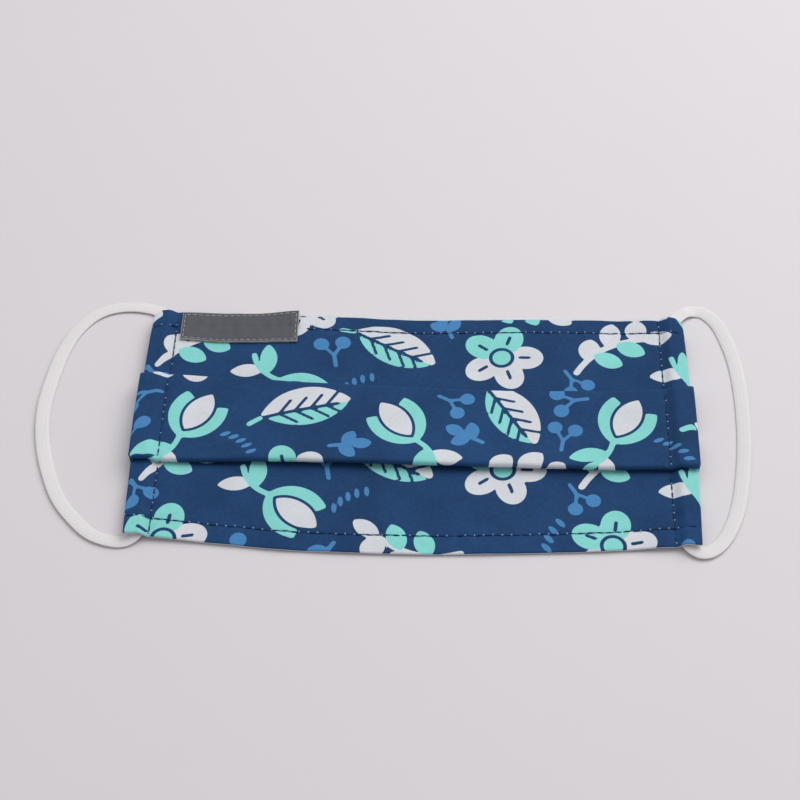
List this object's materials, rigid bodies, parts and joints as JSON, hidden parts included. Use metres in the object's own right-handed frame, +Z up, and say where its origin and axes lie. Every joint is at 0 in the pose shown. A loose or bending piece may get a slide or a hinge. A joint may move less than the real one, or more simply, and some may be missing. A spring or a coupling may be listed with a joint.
{
  "type": "pleated cloth face mask",
  "caption": "Pleated cloth face mask with stitched side casings, elastic ear loops and a plain sewn-on label, lying flat.",
  "frame": {"origin": "on the surface that the mask lies on, under the middle of its footprint with both ear loops", "axes": "+X along the mask to the right as its printed side is seen, +Y towards its upper edge, +Z up out of the printed side"},
  "size_m": [0.2274, 0.1032, 0.0068],
  "materials": {
    "printed_cloth": "matte",
    "knitted_elastic": "matte",
    "woven_label": "matte"
  },
  "bodies": {
    "root": {"mask_body": "printed_cloth", "ear_loop_left": "knitted_elastic", "ear_loop_right": "knitted_elastic", "label_patch": "woven_label"}
  },
  "joints": []
}
